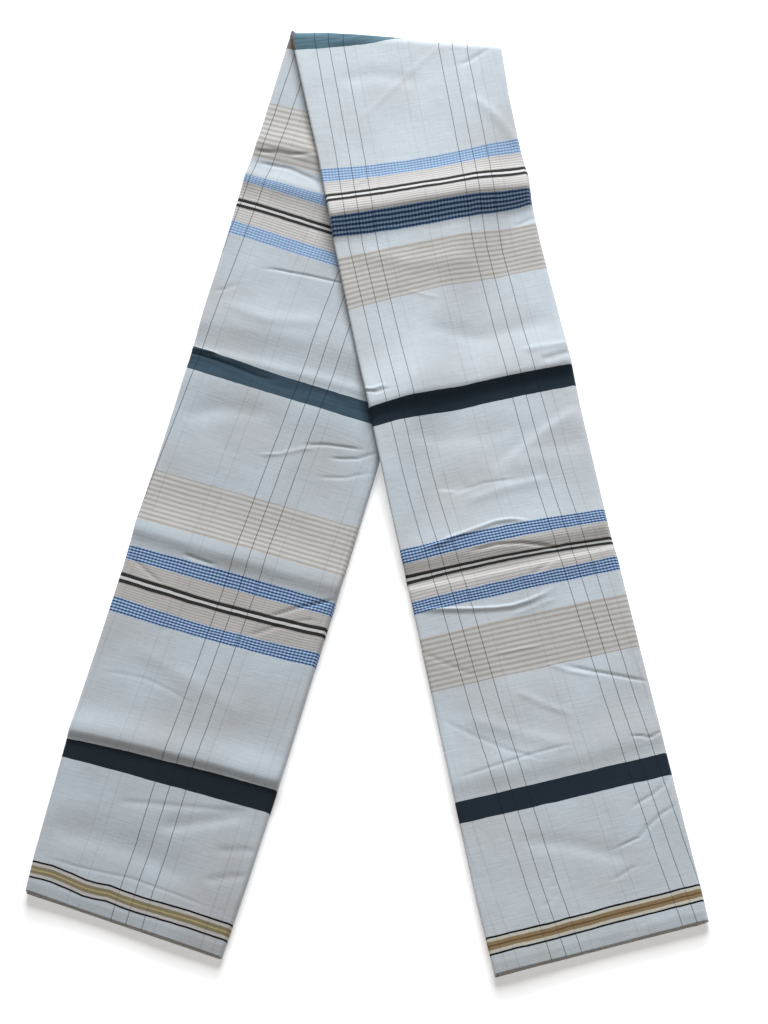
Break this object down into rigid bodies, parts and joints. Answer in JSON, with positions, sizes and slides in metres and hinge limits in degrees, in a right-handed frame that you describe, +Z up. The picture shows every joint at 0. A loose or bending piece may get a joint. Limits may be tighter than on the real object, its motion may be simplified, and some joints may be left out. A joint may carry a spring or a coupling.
{
  "type": "lungi",
  "caption": "Striped cotton lungi, folded lengthwise into a long flat strip and turned over once at its middle, lying flat as an inverted V.",
  "frame": {"origin": "middle of the footprint, on the surface the folded cloth lies on", "axes": "+Z up from that surface, +Y from the hems towards the turned edge, +X towards the hem of the leg that lies on top"},
  "size_m": [0.409, 0.6509, 0.0142],
  "materials": {
    "striped_cotton": "matte",
    "folded_cotton": "matte"
  },
  "bodies": {
    "root": {"under_leg_cloth": "striped_cotton", "over_leg_cloth": "striped_cotton", "apex_cloth": "striped_cotton", "under_leg_layers": "folded_cotton", "over_leg_layers": "folded_cotton", "apex_layers": "folded_cotton"}
  },
  "joints": []
}
